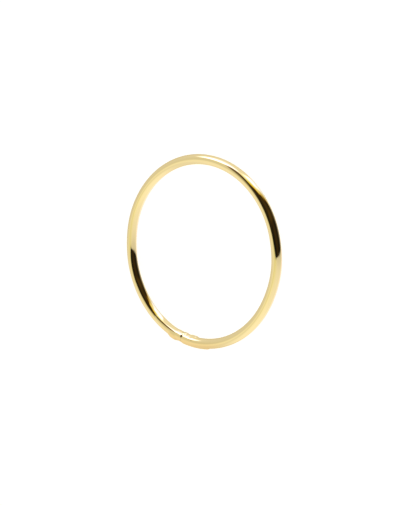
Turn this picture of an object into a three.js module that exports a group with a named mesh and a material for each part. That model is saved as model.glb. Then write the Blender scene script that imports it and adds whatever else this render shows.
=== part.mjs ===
// A plain finger ring: one length of round wire bent into a hoop, its two ends
// soldered together at a joint that was left a little lumpy.
//
// Millimetres. The ring lies on its side on z = 0, as it rests by itself. +Z runs
// along the finger, the Z axis is the middle of the finger hole, and the soldered
// joint is at -Y.
import * as THREE from "three";

// Driving dimensions.
const FINGER_HOLE = 17.0; // inside diameter of the hoop
const WIRE = 1.0; // diameter of the round wire
const WIRE_RADIUS = WIRE / 2;
const HOOP_RADIUS = (FINGER_HOLE + WIRE) / 2; // of the wire's centre line

// A hoop closed by hand isn't a true circle: its centre line swings in and out by
// this much, in three shallow lobes, the first of them at this angle from +X.
const LOBES = 3;
const LOBE_HEIGHT = 0.037;
const FIRST_LOBE = 44;

// The seam between the wire's two ends, at -Y, and the shallow groove that it leaves.
const SEAM_ANGLE = 270;
const SEAM = { halfWidth: 0.9, depth: 0.02 };
// The solder didn't fill the groove on top, just inside the crown: a pin-prick pit.
const PIT = { sectionAngle: 112, spread: 24, depth: 0.08 };

// How far the solder swells the wire on each side of the seam. Along is in degrees
// round the hoop, outside and inside are extra wire radius in millimetres. The two
// sides differ because the ends met slightly out of line and were filed by hand.
const SWELLING = [
  { along: -11.5, outside: 0.0, inside: 0.0 },
  { along: -7.0, outside: 0.11, inside: 0.02 },
  { along: -4.5, outside: 0.09, inside: 0.01 },
  { along: -1.6, outside: 0.02, inside: 0.05 },
  { along: 0.0, outside: 0.01, inside: 0.03 },
  { along: 3.5, outside: 0.04, inside: 0.04 },
  { along: 8.0, outside: 0.07, inside: 0.11 },
  { along: 10.5, outside: 0.07, inside: 0.08 },
  { along: 12.5, outside: 0.05, inside: 0.0 },
  { along: 18.0, outside: 0.0, inside: 0.0 },
];

// Facets: an even number of sides that four divides, so that one side lies flat on
// the ground, and sections that stand closer together towards the seam.
const SIDES = 20;
const STEPS = [
  { within: 3, step: 0.5 },
  { within: 18, step: 1.5 },
  { within: 180, step: 3 },
];

const radians = THREE.MathUtils.degToRad;
const easeBetween = (t) => (1 - Math.cos(Math.PI * t)) / 2;

// The swelling at an angle from the seam, eased from one row of the table to the next.
function swellingAt(along) {
  const next = SWELLING.findIndex((row) => row.along > along);
  if (next <= 0) return { outside: 0, inside: 0 };
  const [from, to] = [SWELLING[next - 1], SWELLING[next]];
  const t = easeBetween((along - from.along) / (to.along - from.along));
  return {
    outside: THREE.MathUtils.lerp(from.outside, to.outside, t),
    inside: THREE.MathUtils.lerp(from.inside, to.inside, t),
  };
}

// How deep the seam is cut in at an angle from it, at an angle round the wire.
function seamDepth(along, sectionAngle) {
  const near = Math.max(0, 1 - Math.abs(along) / SEAM.halfWidth);
  const fromPit = (sectionAngle - PIT.sectionAngle) / PIT.spread;
  const pit = PIT.depth * Math.exp(-fromPit * fromPit);
  return easeBetween(near) * (SEAM.depth + pit);
}

// The centre line's distance from the Z axis at an angle round the hoop.
function hoopRadiusAt(angle) {
  return HOOP_RADIUS + LOBE_HEIGHT * Math.cos(LOBES * radians(angle - FIRST_LOBE));
}

// The angles from the seam at which the wire has a section, once round the hoop.
function sectionAngles() {
  const half = [0];
  for (const { within, step } of STEPS)
    while (half.at(-1) < within) half.push(half.at(-1) + step);
  const before = half.slice(1, -1).map((along) => -along);
  return [...before.reverse(), ...half];
}

// One section of the wire as points, anticlockwise seen along the hoop's tangent.
// Its sides touch the true circle, which gives the polygon this much more radius.
const SIDE_TO_CORNER = 1 / Math.cos(Math.PI / SIDES);
function section(along) {
  const angle = SEAM_ANGLE + along;
  const { outside, inside } = swellingAt(along);
  const middle = hoopRadiusAt(angle) + (outside - inside) / 2;
  const halfWidth = WIRE_RADIUS + (outside + inside) / 2;
  return Array.from({ length: SIDES }, (_, side) => {
    const round = (360 * (side + 0.5)) / SIDES;
    const filed = 1 - seamDepth(along, round) / WIRE_RADIUS;
    const out = halfWidth * filed * SIDE_TO_CORNER * Math.cos(radians(round));
    const up = WIRE_RADIUS * filed * SIDE_TO_CORNER * Math.sin(radians(round));
    return new THREE.Vector3(middle + out, 0, WIRE_RADIUS + up).applyAxisAngle(
      new THREE.Vector3(0, 0, 1),
      radians(angle),
    );
  });
}

// A closed skin over sections that go once round and meet themselves.
function loftedHoop(sections) {
  const positions = sections.flat().flatMap((point) => point.toArray());
  const corner = (i, j) => (i % sections.length) * SIDES + (j % SIDES);
  const indices = [];
  for (let i = 0; i < sections.length; i++)
    for (let j = 0; j < SIDES; j++) {
      const [a, b] = [corner(i, j), corner(i, j + 1)];
      const [c, d] = [corner(i + 1, j), corner(i + 1, j + 1)];
      indices.push(a, c, b, b, c, d);
    }
  const geometry = new THREE.BufferGeometry();
  geometry.setAttribute("position", new THREE.Float32BufferAttribute(positions, 3));
  geometry.setIndex(indices);
  geometry.computeVertexNormals();
  return geometry;
}

const polishedGold = new THREE.MeshStandardMaterial({
  color: 0xfae1a0,
  roughness: 0.06,
  metalness: 1,
});

const band = new THREE.Mesh(loftedHoop(sectionAngles().map(section)), polishedGold);
band.name = "band";

const ring = new THREE.Group();
ring.name = "finger_ring";
ring.add(band);

export default ring;
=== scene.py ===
"""A plain finger ring of polished gold wire, lying on its side on a pale table.

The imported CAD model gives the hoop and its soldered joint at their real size. This script models the same
hoop again as smooth, mirror-polished metal, and sets it in a small white studio: a pale table, a white tent
all round, one curved bright light, and the dark gap in the tent that the camera looks in through.

Lengths are in metres and angles in degrees, unless a comment says otherwise. The ring lies on z = 0, +Z runs
along the finger, and the soldered joint is at -Y. Along is an angle round the hoop from the joint,
anticlockwise seen from above, and round is an angle round the wire, from its outside (0) over its top (90)
to its inside (180).
"""

from math import atan2, cos, degrees, hypot, pi, radians, sin

import bpy
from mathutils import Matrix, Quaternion, Vector


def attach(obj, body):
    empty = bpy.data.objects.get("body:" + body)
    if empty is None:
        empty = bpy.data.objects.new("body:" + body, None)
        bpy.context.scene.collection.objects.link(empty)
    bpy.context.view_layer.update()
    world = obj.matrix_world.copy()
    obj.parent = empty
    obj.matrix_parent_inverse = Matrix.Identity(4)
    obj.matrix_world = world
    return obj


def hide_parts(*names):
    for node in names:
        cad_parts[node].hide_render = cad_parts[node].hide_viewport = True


MM = 0.001

# The hoop, as in the CAD model.
WIRE_RADIUS = 0.5 * MM
HOOP_RADIUS = 9.0 * MM  # of the wire's centre line
SEAM_ANGLE = 270

# The camera looks down at the ring from this side, tipped over sideways.
CAMERA_AZIMUTH = 26.5
CAMERA_ELEVATION = 50.7
CAMERA_ROLL = -99.4
CAMERA_DISTANCE = 133.4 * MM
CAMERA_CLIP_START = 10 * MM
LENS_MILLIMETRES = 97.8
LENS_SHIFT = (0.0109, -0.0024)  # to the right and up, as shares of the view's longer side


def towards(azimuth, elevation):
    """The unit direction at these angles."""
    a, e = radians(azimuth), radians(elevation)
    return Vector((cos(e) * cos(a), cos(e) * sin(a), sin(e)))


# ---------------------------------------------------------------- the wire hoop

WIRE_SIDES = 64
SEAM_STRETCH = {"sweep": 48, "steps": 240}  # finer sections on both sides of the seam
PLAIN_STRETCH = {"sweep": 312, "steps": 260}
MERGE_DISTANCE = 0.001 * MM

# What was left by hand in the wire's skin. Each row pushes a patch of the skin out, or in where height is
# negative, and fades over reach. Height and reach are in millimetres. The rows are worked from first to last,
# each on the skin that the one before has left.
SOLDER_LUMPS = {  # the ends were soldered a little out of line
    "left shoulder": {"along": (-7.8, -5.4), "round": (-20, 24), "height": 0.13, "reach": 0.62},
    "right shoulder": {"along": (1, 20), "round": (-20, 16), "height": 0.07, "reach": 0.32},
    "inner lump": {"along": (6.5, 9.9), "round": (180, 215), "height": 0.10, "reach": 0.34},
    "inner seam": {"along": (-4, 4), "round": (165, 215), "height": 0.05, "reach": 0.42},
}
FILED_RIDGES = {  # too low to feel, but the mirror finish shows them
    "long crest": {"along": (-95, -27), "round": (117, 130), "height": 0.0075, "reach": 0.20},
    "crest swell": {"along": (-50, -34), "round": (117, 130), "height": 0.006, "reach": 0.20},
    "inner ridge": {"along": (-46, -31), "round": (148, 168), "height": 0.0045, "reach": 0.38},
    "inner ridge's middle": {"along": (-42, -26), "round": (148, 168), "height": 0.0045, "reach": 0.38},
    "inner ridge's end": {"along": (-38, -21), "round": (148, 168), "height": 0.003, "reach": 0.38},
    "near ridge": {"along": (95, 172), "round": (88, 98), "height": 0.005, "reach": 0.22},
    "crest": {"along": (-26.5, 8), "round": (117, 130), "height": 0.007, "reach": 0.20},
    "high crest": {"along": (-23, 8), "round": (117, 130), "height": 0.013, "reach": 0.20},
}
SEAM_MARKS = {  # the line where the two ends meet
    "bead": {"along": (0.3, 1.9), "round": (150, 215), "height": 0.05, "reach": 0.17},
    "seam": {"along": (0.35, 0.65), "round": (0, 360), "height": -0.008, "reach": 0.14},
    "pit": {"along": (0.3, 0.7), "round": (106, 128), "height": -0.015, "reach": 0.10},
}

# Closed by hand, so the hoop is not a true circle: three shallow lobes, at the CAD model's angles, and a few
# slight bends. Each bend moves the wire outwards, or inwards where out is negative, and fades over reach.
LOBE_HEIGHT = 0.018 * MM
LOBE_ANGLES = (44, 164, 284)
LOBE_TO_HOLLOW = 60  # between a lobe and the hollows on both sides of it
LOBE_REACH = 2 * HOOP_RADIUS * sin(radians(LOBE_TO_HOLLOW / 2))
BENDS = (
    {"angle": 8.5, "out": 0.03 * MM, "reach": 2.6 * MM},
    {"angle": 42.5, "out": 0.015 * MM, "reach": 3.0 * MM},
    {"angle": 192.5, "out": -0.035 * MM, "reach": 2.5 * MM},
)
GRIP = 1  # how much wire is held on each side of the place that is pulled


def spin_wire_into_hoop():
    """A round section of wire, spun clockwise once round the finger hole, in finer steps beside the seam."""
    start = radians(SEAM_ANGLE + SEAM_STRETCH["sweep"] / 2)
    radius = HOOP_RADIUS - LOBE_HEIGHT
    bpy.ops.object.select_all(action="DESELECT")
    bpy.ops.mesh.primitive_circle_add(
        vertices=WIRE_SIDES,
        radius=WIRE_RADIUS,
        location=(radius * cos(start), radius * sin(start), WIRE_RADIUS),
        rotation=(pi / 2, 0, start),
    )
    hoop = bpy.context.object
    hoop.name = "gold_band"
    bpy.ops.object.transform_apply(location=True, rotation=True, scale=True)
    bpy.ops.object.mode_set(mode="EDIT")
    bpy.ops.mesh.select_all(action="SELECT")
    for stretch in (SEAM_STRETCH, PLAIN_STRETCH):
        bpy.ops.mesh.spin(
            steps=stretch["steps"],
            angle=radians(stretch["sweep"]),
            center=(0, 0, 0),
            axis=(0, 0, 1),
        )
    bpy.ops.mesh.select_all(action="SELECT")
    bpy.ops.mesh.remove_doubles(threshold=MERGE_DISTANCE)
    bpy.ops.mesh.normals_make_consistent(inside=False)
    bpy.ops.object.mode_set(mode="OBJECT")
    bpy.ops.object.shade_smooth()
    return hoop


def select_patch(hoop, along, round_wire):
    """Goes into edit mode with the wire's skin selected between two angles along and two angles round."""
    bpy.ops.object.mode_set(mode="EDIT")
    bpy.ops.mesh.select_mode(type="VERT")
    bpy.ops.mesh.select_all(action="DESELECT")
    bpy.ops.object.mode_set(mode="OBJECT")
    middle = HOOP_RADIUS - LOBE_HEIGHT
    for vertex in hoop.data.vertices:
        x, y, z = vertex.co
        past = (degrees(atan2(y, x)) - SEAM_ANGLE - along[0]) % 360
        turned = (degrees(atan2(z - WIRE_RADIUS, hypot(x, y) - middle)) - round_wire[0]) % 360
        vertex.select = past <= along[1] - along[0] and turned <= round_wire[1] - round_wire[0]
    bpy.ops.object.mode_set(mode="EDIT")


def push_skin(hoop, patches):
    """Pushes patches of the wire's skin out or in, one after another."""
    for patch in patches.values():
        select_patch(hoop, patch["along"], patch["round"])
        bpy.ops.transform.shrink_fatten(
            value=patch["height"] * MM,
            use_proportional_edit=True,
            proportional_edit_falloff="SMOOTH",
            proportional_size=patch["reach"] * MM,
        )
        bpy.ops.object.mode_set(mode="OBJECT")


def pull_out_of_round(hoop):
    """Pulls the lobes out of the spun hoop, which has the radius of the hollows, and then bends it."""
    lobes = [{"angle": angle, "out": 2 * LOBE_HEIGHT, "reach": LOBE_REACH} for angle in LOBE_ANGLES]
    for bend in (*lobes, *BENDS):
        along = bend["angle"] - SEAM_ANGLE
        select_patch(hoop, (along - GRIP, along + GRIP), (0, 360))
        bpy.ops.transform.translate(
            value=bend["out"] * towards(bend["angle"], 0),
            use_proportional_edit=True,
            proportional_edit_falloff="SMOOTH",
            proportional_size=bend["reach"],
        )
        bpy.ops.object.mode_set(mode="OBJECT")


# ---------------------------------------------------------------- sums in node trees


class Sums:
    """Sums on numbers and directions in a node tree, one node for each."""

    def __init__(self, tree):
        self.tree = tree

    def node(self, kind, **settings):
        node = self.tree.nodes.new(kind)
        for name, value in settings.items():
            setattr(node, name, value)
        return node

    def feed(self, socket, value):
        """Links an output to this socket, or sets the socket to a plain value."""
        if isinstance(value, bpy.types.NodeSocket):
            self.tree.links.new(value, socket)
        else:
            socket.default_value = value

    def math(self, operation, *values):
        node = self.node("ShaderNodeMath", operation=operation)
        for socket, value in zip(node.inputs, values):
            self.feed(socket, value)
        return node.outputs[0]

    def step(self, value, start, end):
        """0 up to start and 1 from end, with a smooth rise between. A start above end makes it fall."""
        node = self.node("ShaderNodeMapRange", interpolation_type="SMOOTHSTEP")
        rises = start < end
        self.feed(node.inputs["Value"], value)
        self.feed(node.inputs["From Min"], min(start, end))
        self.feed(node.inputs["From Max"], max(start, end))
        self.feed(node.inputs["To Min"], 0.0 if rises else 1.0)
        self.feed(node.inputs["To Max"], 1.0 if rises else 0.0)
        return node.outputs["Result"]

    def scale(self, value, low, high, to_low, to_high):
        """The value, with what is between low and high moved to between to_low and to_high."""
        node = self.node("ShaderNodeMapRange")
        for socket, number in zip(node.inputs, (value, low, high, to_low, to_high)):
            self.feed(socket, number)
        return node.outputs["Result"]

    def curve(self, value, points):
        """A smooth curve through given points of (value, result)."""
        (first, _), (last, _) = points[0], points[-1]
        low, high = min(r for _, r in points), max(r for _, r in points)
        node = self.node("ShaderNodeFloatCurve")
        line = node.mapping.curves[0]
        for i, (at, result) in enumerate(points):
            x, y = (at - first) / (last - first), (result - low) / (high - low)
            if i < 2:  # a new curve has two points already
                line.points[i].location = (x, y)
            else:
                line.points.new(x, y)
        for point in line.points:
            point.handle_type = "AUTO_CLAMPED"
        node.mapping.update()
        self.feed(node.inputs["Value"], self.scale(value, first, last, 0, 1))
        return self.scale(node.outputs["Value"], 0, 1, low, high)

    def away_from(self, direction, azimuth, elevation):
        """The angle between a direction and a fixed one."""
        node = self.node("ShaderNodeVectorMath", operation="DOT_PRODUCT")
        self.feed(node.inputs[0], direction)
        node.inputs[1].default_value = towards(azimuth, elevation)
        return self.math("DEGREES", self.math("ARCCOSINE", node.outputs["Value"]))

    def distance(self, place, point):
        """How far a place is from a fixed point."""
        node = self.node("ShaderNodeVectorMath", operation="DISTANCE")
        self.feed(node.inputs[0], place)
        node.inputs[1].default_value = point
        return node.outputs["Value"]

    def channels(self, values):
        node = self.node("ShaderNodeCombineXYZ")
        for socket, value in zip(node.inputs, values):
            self.feed(socket, value)
        return node.outputs[0]

    def split(self, vector):
        node = self.node("ShaderNodeSeparateXYZ")
        self.feed(node.inputs["Vector"], vector)
        return node.outputs

    def noise(self, place, fourth, size, detail):
        """Noise between -0.5 and 0.5, in lumps of this size. Place and fourth are its four coordinates."""
        node = self.node("ShaderNodeTexNoise", noise_dimensions="4D")
        self.feed(node.inputs["Vector"], place)
        self.feed(node.inputs["W"], fourth)
        node.inputs["Scale"].default_value = 1 / size
        node.inputs["Detail"].default_value = detail
        return self.math("SUBTRACT", node.outputs["Fac"], 0.5)

    def mix(self, mask, below, above):
        """Two colours mixed by a mask, or channel by channel by a colour."""
        by_channel = isinstance(mask, bpy.types.NodeSocket) and mask.type == "VECTOR"
        node = self.node("ShaderNodeMix", data_type="VECTOR")
        if by_channel:
            node.factor_mode = "NON_UNIFORM"
        sockets = [s for s in node.inputs if s.enabled]
        for socket, value in zip(sockets, (mask, below, above)):
            self.feed(socket, value)
        return next(s for s in node.outputs if s.enabled)

    def bump(self, height):
        """The direction that the surface faces once it is raised by this height."""
        node = self.node("ShaderNodeBump")
        self.feed(node.inputs["Height"], height)
        node.inputs["Distance"].default_value = 1
        return node.outputs["Normal"]


def start_material(name):
    """A new material, its shader, and the sums that feed it."""
    material = bpy.data.materials.new(name)
    material.use_nodes = True
    return material, material.node_tree.nodes["Principled BSDF"], Sums(material.node_tree)


# ---------------------------------------------------------------- the gold

GOLD = (0.96, 0.78, 0.40)
GOLD_EDGE = (0.86, 0.8, 0.66)  # seen along the surface
SOLDER_GOLD = (0.92, 0.67, 0.30)  # a redder alloy, worked into the wire on both sides of the seam
TARNISH = (0.09, 0.062, 0.03)

# Roughness: the polish's own, and what the marks and the tarnish add to it, times their strength.
POLISH = 0.035
MARKED = 0.05
TARNISHED = 0.4

# The wheel's fine marks, the slow waves that it leaves in soft metal, and clouds in the alloy's colour, each
# drawn out this many times along the wire. The heights are from hollow to crest.
WHEEL_MARKS = {"drawn_out": 60, "size": 0.02 * MM, "detail": 3}
WAVES = {"drawn_out": 2.5, "size": 0.45 * MM, "detail": 1}
CLOUDS = {"drawn_out": 3, "size": 0.9 * MM, "detail": 2}
WHEEL_MARK_HEIGHT = 0.00003 * MM
WAVE_HEIGHT = 0.0012 * MM
CLOUD_TONE = 0.5  # next to the solder's tone of 1
SOLDER_SHARE = 0.9  # of the solder's own colour, where there is most of it

# Where the solder went, measured from the seam: nothing at the first length, all at the second.
SOLDER_ON_LEFT = (-3.6 * MM, -1.2 * MM)
SOLDER_ON_RIGHT = (6 * MM, 3 * MM)
SOLDER_OUTSIDE = (-0.25 * MM, 0.25 * MM)  # from the wire's centre line outwards
JOINT_HALF = (0, -1 * MM)  # the hoop's half with the joint, from its middle towards -Y

# The tarnish lies in a pit and, more thinly, along the seam. Both fade in the same way, by the distance from
# their middle.
SEAM_ALONG = 0.5
SEAM_LINE = (0.06 * MM, 0)
SEAM_TARNISH = 0.3
PIT_ROUND = 116
PIT = (0.17 * MM, 0.04 * MM)


def place_on_wire(along, round_wire):
    """The point on the wire's surface at these two angles."""
    angle = radians(SEAM_ANGLE + along)
    out = HOOP_RADIUS + WIRE_RADIUS * cos(radians(round_wire))
    up = WIRE_RADIUS + WIRE_RADIUS * sin(radians(round_wire))
    return Vector((out * cos(angle), out * sin(angle), up))


def polished_gold():
    """Mirror-polished pale gold, redder where solder was worked in, with tarnish in the seam."""
    material, shader, sums = start_material("polished_gold")
    shader.inputs["Metallic"].default_value = 1
    shader.inputs["Specular Tint"].default_value = (*GOLD_EDGE, 1)
    place = sums.node("ShaderNodeTexCoord").outputs["Object"]
    x, y, z = sums.split(place)
    squares = [sums.math("MULTIPLY", side, side) for side in (x, y)]
    from_axis = sums.math("SQRT", sums.math("ADD", *squares))
    out = sums.math("SUBTRACT", from_axis, HOOP_RADIUS)
    up = sums.math("SUBTRACT", z, WIRE_RADIUS)

    def noise_on_wire(layer):
        """Noise that follows the wire, drawn out along it, with no join anywhere."""
        slow_x, slow_y = (sums.math("DIVIDE", side, layer["drawn_out"]) for side in (x, y))
        return sums.noise(sums.channels((out, up, slow_x)), slow_y, layer["size"], layer["detail"])

    marks = noise_on_wire(WHEEL_MARKS)
    waves = noise_on_wire(WAVES)
    clouds = noise_on_wire(CLOUDS)

    seam = radians(SEAM_ANGLE + SEAM_ALONG)
    past_seam = sums.math(
        "SUBTRACT",
        sums.math("MULTIPLY", y, cos(seam)),
        sums.math("MULTIPLY", x, sin(seam)),
    )
    from_seam = sums.math("ABSOLUTE", past_seam)
    joint_half = sums.step(y, *JOINT_HALF)
    solder = sums.math("MULTIPLY", sums.step(past_seam, *SOLDER_ON_LEFT), joint_half)
    solder = sums.math("MULTIPLY", sums.step(past_seam, *SOLDER_ON_RIGHT), solder)
    solder = sums.math("MULTIPLY", solder, sums.step(out, *SOLDER_OUTSIDE))
    line = sums.math("MULTIPLY", sums.step(from_seam, *SEAM_LINE), joint_half)
    pit = sums.step(sums.distance(place, place_on_wire(SEAM_ALONG, PIT_ROUND)), *PIT)
    tarnish = sums.math("MAXIMUM", pit, sums.math("MULTIPLY", line, SEAM_TARNISH))

    tone = sums.math("MULTIPLY_ADD", clouds, CLOUD_TONE, solder)
    colour = sums.mix(sums.math("MULTIPLY", tone, SOLDER_SHARE), GOLD, SOLDER_GOLD)
    colour = sums.mix(tarnish, colour, TARNISH)
    rough = sums.math("MULTIPLY_ADD", sums.math("ABSOLUTE", marks), MARKED, POLISH)
    rough = sums.math("MULTIPLY_ADD", tarnish, TARNISHED, rough)
    raised = sums.math("MULTIPLY", waves, WAVE_HEIGHT)
    height = sums.math("MULTIPLY_ADD", marks, WHEEL_MARK_HEIGHT, raised)
    sums.feed(shader.inputs["Base Color"], colour)
    sums.feed(shader.inputs["Roughness"], rough)
    sums.feed(shader.inputs["Normal"], sums.bump(height))
    return material


# ---------------------------------------------------------------- the studio

# What the gold mirrors, by direction: azimuth is counted from the camera's side, anticlockwise seen from
# above, and elevation up from the horizon. Colours and brightnesses are linear light. Where a pair of angles
# gives an edge, there is nothing at the first and all at the second.

TENT_LEVEL = (
    (-180, 0.89), (-155, 0.98), (-132, 0.88), (-118, 0.95), (-92, 1.05), (-65, 0.98), (-40, 0.92),
    (-30, 0.86), (-22, 0.77), (-16, 0.72), (50, 0.86), (90, 0.9), (115, 0.85), (135, 0.77),
    (160, 0.76), (180, 0.89),
)  # azimuth, brightness
TENT_DIMMING = ((-90, 1.0), (20, 1.0), (50, 0.97), (74, 0.86), (90, 0.75))  # elevation, share
TENT_BLUE = ((-90, 1.03), (0, 1.01), (40, 0.95), (70, 0.78), (90, 0.65))  # elevation, share of blue

STRIP_PLACE = (
    (-75, 100), (-64, 87), (-55, 74), (-46, 67), (-34, 63), (-16, 61), (0, 62.5), (8, 65.5),
    (20, 70.5), (32, 70),
)  # elevation, azimuth of its middle
STRIP_WIDTH = (
    (-75, 16), (-64, 15), (-55, 12.5), (-46, 10.5), (-34, 9), (-16, 7.5), (0, 6.8), (8, 6.2),
    (20, 4.5), (32, 0),
)  # elevation, half its width
STRIP_EDGE = (3, -2)  # how far past half its width
STRIP_END = (29, 21)  # elevation
STRIP_RED = (
    (-90, 0.97), (-56, 0.98), (-50, 1.05), (-38, 1.3), (-20, 1.8), (-2, 2.0), (7, 1.8), (17, 1.3),
    (90, 1.1),
)  # elevation, brightness
STRIP_GREEN = ((-90, 1.2), (-54, 1.2), (-45, 0.97), (90, 0.97))  # elevation, share of the red
STRIP_BLUE = (
    (-90, 2.3), (-54, 2.3), (-45, 1.4), (-10, 1.5), (1, 1.4), (8, 1.1), (16, 0.8), (26, 0.6),
    (90, 0.6),
)  # elevation, share of the red

# Softer round lights, with all their level out to the core and none of it from the edge on.
BRIGHT_SPOTS = (
    {"azimuth": -105, "elevation": -62, "level": 1.25, "core": 8, "edge": 44},
    {"azimuth": 106, "elevation": 26, "level": 2.8, "core": 8, "edge": 17},
    {"azimuth": 88, "elevation": 21, "level": 2.2, "core": 4, "edge": 13},
    {"azimuth": 94, "elevation": 5, "level": 1.2, "core": 2, "edge": 15},
)
SPOT_TINT = (1, 0.97, 1.4)  # red, green and blue, as shares of the level

# The gap's two upright edges, as elevation and azimuth, and half the width over which each one fades.
GAP_LEFT = ((-90, -12), (-30, -13.4), (-10, -14.4), (8, -14.6), (28, -15.6), (48, -17.4), (90, -18))
GAP_RIGHT = ((-90, 42), (-36, 43.5), (-12, 44.3), (6, 43.2), (26, 45.3), (48, 47.5), (90, 48))
GAP_LEFT_BLUR = 3
GAP_RIGHT_BLUR = 7
GAP_DEPTH = (
    (-90, 0.15), (-76, 0.36), (-64, 0.56), (-54, 0.76), (-45, 0.93), (-36, 0.99), (-20, 1.0),
)  # elevation, how dark the gap is

# Over this skyline all is dark, and the gap opens into it from below.
SKYLINE = (
    (-180, 80), (-120, 86), (-60, 86), (-42, 79), (-32, 70), (-25, 62), (-20.5, 52), (-18, 38),
    (-15.5, 20), (-14, 0), (40, 0), (48, 20), (58, 35), (66, 43.5), (74, 48), (82, 42), (92, 38.5),
    (98, 39.5), (104, 43.5), (116, 52), (130, 60), (145, 66), (180, 80),
)  # azimuth, elevation
SKYLINE_BLUR = 5  # half the height over which it fades

# The edges are golden, because green and blue are dark farther out than red. At the gap's right edge they are
# so by these two angles, where the fade outwards begins and where it ends. Towards the skyline they begin to
# go dark sooner by the angles in the tables, and are all dark sooner by this share of those angles.
RIGHT_FRINGES = ((0, 0), (0.8, 1.5), (3, 6))  # red, green and blue
SKYLINE_GREEN = (
    (-180, 0), (20, 0), (38, 2.2), (66, 2.4), (78, 1.2), (96, 1.2), (112, 0), (180, 0),
)  # azimuth, degrees sooner
SKYLINE_BLUE = (
    (-180, 0), (20, 0), (38, 8), (58, 14), (66, 15), (74, 8), (83, 4), (92, 0), (180, 0),
)  # azimuth, degrees sooner
FRINGE_END = 0.6

# The dark is black low down and at the very top and brown between, with a browner streak. On the right it
# turns lighter brown and then tan, but not high up.
GAP_BLACK = (0.008, 0.0088, 0.008)
GAP_BROWN = (0.032, 0.021, 0.009)
GAP_MIDDLE = (
    (-90, 0.2), (-12, 0.2), (4, 0.5), (18, 0.95), (34, 1.0), (48, 0.45), (60, 0.05), (90, 0.0),
)  # elevation, share of brown
STREAK_BROWN = (0.070, 0.043, 0.0115)
STREAK = (
    (-16, 0), (8, 0.2), (14, 0.15), (20, 0.8), (26, 1.0), (32, 0.5), (44, 0.5),
)  # azimuth, share
STREAK_IN_BLACK = 0.5  # the streak's strength where the dark is black
RIGHT_BROWN = (0.05, 0.036, 0.019)
RIGHT_BROWN_SIDE = (72, 92)  # azimuth
RIGHT_BROWN_TOP = (78, 58)  # elevation
RIGHT_TAN = (0.27, 0.235, 0.165)
RIGHT_TAN_SIDE = (94, 112)  # azimuth

FILL = (0.26, 0.26, 0.26)  # what dull surfaces get from all round, in place of all this
BACKDROP = (1, 1, 1)  # what the camera itself sees past the table


def white_tent(sums, azimuth, elevation):
    """The tent by itself, a little darker and yellower towards the top."""
    level = sums.math("MULTIPLY", sums.curve(azimuth, TENT_LEVEL), sums.curve(elevation, TENT_DIMMING))
    blue = sums.math("MULTIPLY", level, sums.curve(elevation, TENT_BLUE))
    return sums.channels((level, level, blue))


def add_strip_light(sums, colour, azimuth, elevation):
    """The tent's colour with the curved bright light in front of it."""
    off = sums.math("ABSOLUTE", sums.math("SUBTRACT", azimuth, sums.curve(elevation, STRIP_PLACE)))
    past = sums.math("SUBTRACT", off, sums.curve(elevation, STRIP_WIDTH))
    strip = sums.math("MULTIPLY", sums.step(past, *STRIP_EDGE), sums.step(elevation, *STRIP_END))
    red = sums.curve(elevation, STRIP_RED)
    green = sums.math("MULTIPLY", red, sums.curve(elevation, STRIP_GREEN))
    blue = sums.math("MULTIPLY", red, sums.curve(elevation, STRIP_BLUE))
    return sums.mix(strip, colour, sums.channels((red, green, blue)))


def add_bright_spots(sums, colour, direction):
    """The colour so far, with the round lights in front of it."""
    for spot in BRIGHT_SPOTS:
        away = sums.away_from(direction, spot["azimuth"], spot["elevation"])
        light = [spot["level"] * share for share in SPOT_TINT]
        colour = sums.mix(sums.step(away, spot["edge"], spot["core"]), colour, light)
    return colour


def gap_and_sky_masks(sums, azimuth, elevation):
    """How dark the gap and all that is over the skyline are: one mask each for red, green and blue."""
    above = sums.math("SUBTRACT", elevation, sums.curve(azimuth, SKYLINE))
    past_left = sums.math("SUBTRACT", azimuth, sums.curve(elevation, GAP_LEFT))
    left = sums.step(past_left, -GAP_LEFT_BLUR, GAP_LEFT_BLUR)
    past_right = sums.math("SUBTRACT", azimuth, sums.curve(elevation, GAP_RIGHT))
    depth = sums.curve(elevation, GAP_DEPTH)
    fringes = (0, sums.curve(azimuth, SKYLINE_GREEN), sums.curve(azimuth, SKYLINE_BLUE))
    masks = []
    for sooner, (begins, ends) in zip(fringes, RIGHT_FRINGES):
        all_dark = sums.math("MULTIPLY_ADD", sooner, -FRINGE_END, SKYLINE_BLUR)
        fade = sums.math("MULTIPLY_ADD", sooner, 1 - FRINGE_END, 2 * SKYLINE_BLUR)
        sky = sums.step(sums.math("DIVIDE", sums.math("SUBTRACT", above, all_dark), fade), -1, 0)
        right = sums.step(past_right, ends + GAP_RIGHT_BLUR, begins - GAP_RIGHT_BLUR)
        gap = sums.math("MULTIPLY", sums.math("MULTIPLY", left, right), depth)
        masks.append(sums.math("MAXIMUM", gap, sky))
    return masks


def gap_colour(sums, azimuth, elevation):
    """The colour of what lies in the gap and over the skyline."""
    middle = sums.curve(elevation, GAP_MIDDLE)
    dark = sums.mix(middle, GAP_BLACK, GAP_BROWN)
    streak = sums.curve(azimuth, STREAK)
    strength = sums.math("MULTIPLY_ADD", middle, 1 - STREAK_IN_BLACK, STREAK_IN_BLACK)
    dark = sums.mix(sums.math("MULTIPLY", streak, strength), dark, STREAK_BROWN)
    side, top = sums.step(azimuth, *RIGHT_BROWN_SIDE), sums.step(elevation, *RIGHT_BROWN_TOP)
    right = sums.mix(sums.step(azimuth, *RIGHT_TAN_SIDE), RIGHT_BROWN, RIGHT_TAN)
    return sums.mix(sums.math("MULTIPLY", side, top), dark, right)


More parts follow.
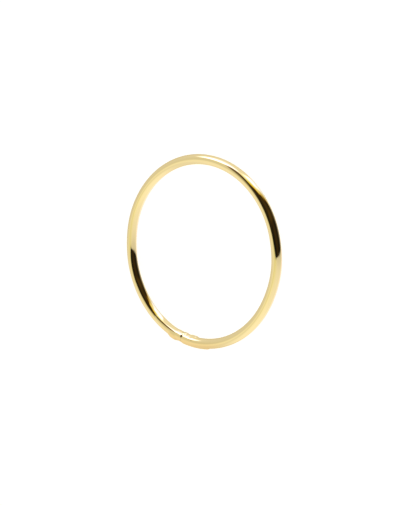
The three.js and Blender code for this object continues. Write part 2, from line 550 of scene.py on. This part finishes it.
def white_studio():
    """The light from all round: all of the studio for reflections, and plain light for the rest."""
    world = bpy.data.worlds.new("white_studio")
    bpy.context.scene.world = world
    world.use_nodes = True
    world.cycles.sampling_method = "NONE"  # even light and mirrored light need no sampling
    sums = Sums(world.node_tree)
    coordinates = sums.node("ShaderNodeTexCoord")
    turned = sums.node("ShaderNodeMapping", vector_type="VECTOR")
    turned.inputs["Rotation"].default_value = (0, 0, radians(-CAMERA_AZIMUTH))
    sums.feed(turned.inputs["Vector"], coordinates.outputs["Generated"])
    direction = turned.outputs["Vector"]
    x, y, z = sums.split(direction)
    azimuth = sums.math("DEGREES", sums.math("ARCTAN2", y, x))
    elevation = sums.math("DEGREES", sums.math("ARCSINE", z))

    colour = white_tent(sums, azimuth, elevation)
    colour = add_strip_light(sums, colour, azimuth, elevation)
    colour = add_bright_spots(sums, colour, direction)
    masks = gap_and_sky_masks(sums, azimuth, elevation)
    colour = sums.mix(sums.channels(masks), colour, gap_colour(sums, azimuth, elevation))

    paths = sums.node("ShaderNodeLightPath")
    seen = sums.mix(paths.outputs["Is Glossy Ray"], FILL, colour)
    seen = sums.mix(paths.outputs["Is Camera Ray"], seen, BACKDROP)
    sums.feed(world.node_tree.nodes["Background"].inputs["Color"], seen)


# The table glows, so that the ground stays white round the ring. Its colour and its glow go from the first
# value to the second with the grain and the clouds, and its roughness does so with the grain alone.
TABLE_SIZE = 4
TABLE_GRAIN = {"size": 0.35 * MM, "detail": 2}
TABLE_CLOUDS = {"size": 22 * MM, "detail": 3}
GRAIN_TONE = 0.6  # next to the clouds' tone of 1
GRAIN_HEIGHT = 0.02 * MM
TABLE_COLOUR = ((0.90, 0.90, 0.895), (0.93, 0.93, 0.93))
TABLE_GLOW = ((0.79, 0.79, 0.78), (0.83, 0.83, 0.82))
TABLE_ROUGHNESS = (0.82, 0.98)


def pale_table():
    """A dull, nearly white ground, far wider than the ring."""
    bpy.ops.object.select_all(action="DESELECT")
    bpy.ops.mesh.primitive_plane_add(size=TABLE_SIZE)
    table = bpy.context.object
    table.name = "pale_table"
    table.visible_glossy = False  # the studio gives what the gold mirrors on that side too
    material, shader, sums = start_material("pale_table")
    shader.inputs["Specular IOR Level"].default_value = 0
    shader.inputs["Emission Strength"].default_value = 1
    place = sums.node("ShaderNodeTexCoord").outputs["Object"]
    grain = sums.noise(place, 0, **TABLE_GRAIN)
    clouds = sums.noise(place, 1, **TABLE_CLOUDS)
    shade = sums.scale(sums.math("MULTIPLY_ADD", grain, GRAIN_TONE, clouds), -0.5, 0.5, 0, 1)
    sums.feed(shader.inputs["Base Color"], sums.mix(shade, *TABLE_COLOUR))
    sums.feed(shader.inputs["Emission Color"], sums.mix(shade, *TABLE_GLOW))
    sums.feed(shader.inputs["Roughness"], sums.scale(grain, -0.5, 0.5, *TABLE_ROUGHNESS))
    sums.feed(shader.inputs["Normal"], sums.bump(sums.math("MULTIPLY", grain, GRAIN_HEIGHT)))
    table.data.materials.append(material)


def camera():
    """The camera, aimed at the middle of the ring."""
    lens = bpy.data.cameras.new("camera")
    lens.lens = LENS_MILLIMETRES
    lens.shift_x, lens.shift_y = LENS_SHIFT
    lens.clip_start = CAMERA_CLIP_START
    holder = bpy.data.objects.new("camera", lens)
    bpy.context.scene.collection.objects.link(holder)
    back = towards(CAMERA_AZIMUTH, CAMERA_ELEVATION)
    holder.location = CAMERA_DISTANCE * back + Vector((0, 0, WIRE_RADIUS))
    facing = (-back).to_track_quat("-Z", "Y")
    tipped = facing @ Quaternion((0, 0, 1), radians(CAMERA_ROLL))
    holder.rotation_euler = tipped.to_euler()
    bpy.context.scene.camera = holder


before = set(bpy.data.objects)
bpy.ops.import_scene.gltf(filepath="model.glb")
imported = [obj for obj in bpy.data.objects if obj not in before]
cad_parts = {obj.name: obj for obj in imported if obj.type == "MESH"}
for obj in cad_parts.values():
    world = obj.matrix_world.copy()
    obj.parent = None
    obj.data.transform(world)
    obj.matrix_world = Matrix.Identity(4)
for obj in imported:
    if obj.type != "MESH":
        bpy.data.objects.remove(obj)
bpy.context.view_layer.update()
camera()
white_studio()
pale_table()
bpy.context.scene.view_settings.view_transform = "Standard"

band = spin_wire_into_hoop()
push_skin(band, SOLDER_LUMPS)
push_skin(band, FILED_RIDGES)
push_skin(band, SEAM_MARKS)
pull_out_of_round(band)
band.data.materials.append(polished_gold())
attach(band, "root")
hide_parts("band")
band.visible_glossy = False  # its far side mirrored in its near side is a blur too fine to see
